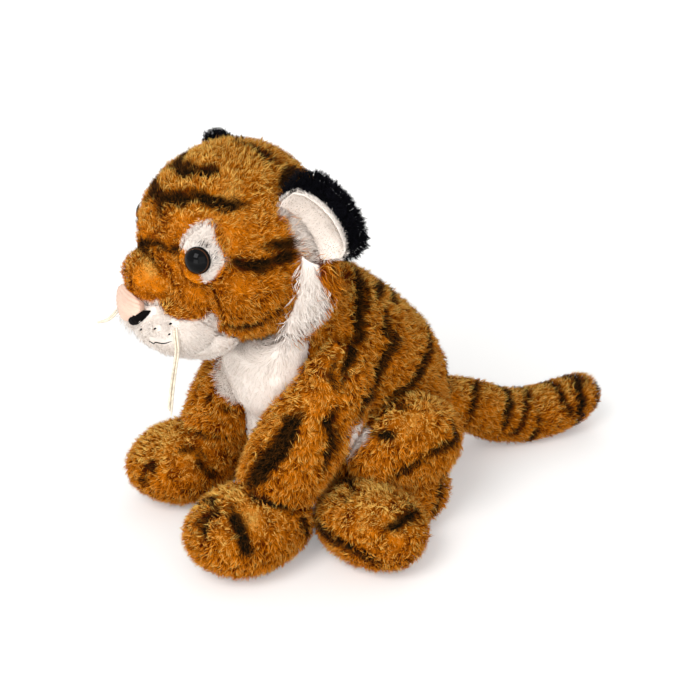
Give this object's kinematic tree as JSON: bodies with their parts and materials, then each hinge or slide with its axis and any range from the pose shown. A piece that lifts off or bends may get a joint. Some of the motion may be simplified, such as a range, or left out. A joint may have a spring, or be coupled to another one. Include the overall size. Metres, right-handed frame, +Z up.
{
  "type": "plush tiger",
  "caption": "Sitting stuffed tiger cub with orange curly pile, dark stripes, white muzzle and bib, and a tail behind it",
  "frame": {"origin": "On the floor below the middle of the toy, whiskers left out", "axes": "+X is the toy's left side, -Y is where its body faces, +Z is up, and the tail points to +Y"},
  "size_m": [0.227, 0.3586, 0.249],
  "materials": {
    "orange_plush": "curly orange pile with near-black printed stripes",
    "white_plush": "straight cream-white pile",
    "black_plush": "shaggy black pile",
    "pink_satin": "ribbed satin",
    "eye_plastic": "clear domed brown-black plastic",
    "washer_plastic": "plain moulded",
    "bag_cloth": "plain woven cloth",
    "whisker_thread": "fine pale thread"
  },
  "bodies": {
    "torso": {"torso": "orange_plush", "belly_panel": "white_plush", "pellet_bag": "bag_cloth"},
    "neck": {"neck": "orange_plush"},
    "head": {"head": "orange_plush", "muzzle": "white_plush", "jaw": "white_plush", "nose": "pink_satin", "whisker_left": "whisker_thread", "whisker_right": "whisker_thread", "eye_left": "eye_plastic", "eye_washer_left": "washer_plastic", "eye_patch_left": "white_plush", "cheek_ruff_left": "white_plush", "eye_right": "eye_plastic", "eye_washer_right": "washer_plastic", "eye_patch_right": "white_plush", "cheek_ruff_right": "white_plush"},
    "ear_left": {"ear_back_left": "black_plush", "ear_lining_left": "white_plush"},
    "front_leg_left": {"front_leg_left": "orange_plush", "front_paw_left": "orange_plush"},
    "hind_leg_left": {"hind_leg_left": "orange_plush", "hind_foot_left": "orange_plush"},
    "ear_right": {"ear_back_right": "black_plush", "ear_lining_right": "white_plush"},
    "front_leg_right": {"front_leg_right": "orange_plush", "front_paw_right": "orange_plush"},
    "hind_leg_right": {"hind_leg_right": "orange_plush", "hind_foot_right": "orange_plush"},
    "tail": {"tail": "orange_plush"}
  },
  "joints": [
    {"name": "head_turn", "type": "hinge", "parent": "torso", "child": "neck", "pos_m": [0, -0.07967, 0.152], "axis": [0, 0, 1], "range_deg": [-14, 14], "stiffness_Nm_per_rad": 0.4},
    {"name": "head_nod", "type": "hinge", "parent": "neck", "child": "head", "pos_m": [0, -0.07967, 0.152], "axis": [0.9969, -0.0785, 0], "range_deg": [-8, 8], "stiffness_Nm_per_rad": 1.2},
    {"name": "ear_fold_left", "type": "hinge", "parent": "head", "child": "ear_left", "pos_m": [0.05017, -0.08605, 0.21436], "axis": [0.32, 0.4878, -0.8122], "range_deg": [-16, 16], "stiffness_Nm_per_rad": 0.02},
    {"name": "shoulder_left", "type": "hinge", "parent": "torso", "child": "front_leg_left", "pos_m": [0.042, -0.07367, 0.112], "axis": [1, 0, 0], "range_deg": [-16, 0], "stiffness_Nm_per_rad": 0.5},
    {"name": "hip_left", "type": "hinge", "parent": "torso", "child": "hind_leg_left", "pos_m": [0.056, -0.02317, 0.057], "axis": [1, 0, 0], "range_deg": [0, 20], "stiffness_Nm_per_rad": 0.5},
    {"name": "ear_fold_right", "type": "hinge", "parent": "head", "child": "ear_right", "pos_m": [-0.05359, -0.08133, 0.21051], "axis": [-0.1401, 0.6324, -0.7619], "range_deg": [-16, 16], "stiffness_Nm_per_rad": 0.02},
    {"name": "shoulder_right", "type": "hinge", "parent": "torso", "child": "front_leg_right", "pos_m": [-0.042, -0.07367, 0.112], "axis": [1, 0, 0], "range_deg": [-16, 0], "stiffness_Nm_per_rad": 0.5},
    {"name": "hip_right", "type": "hinge", "parent": "torso", "child": "hind_leg_right", "pos_m": [-0.056, -0.02317, 0.057], "axis": [1, 0, 0], "range_deg": [0, 20], "stiffness_Nm_per_rad": 0.5},
    {"name": "tail_swing", "type": "hinge", "parent": "torso", "child": "tail", "pos_m": [0, 0.03033, 0], "axis": [0, 0, 1], "range_deg": [-22, 22], "stiffness_Nm_per_rad": 0.15}
  ]
}
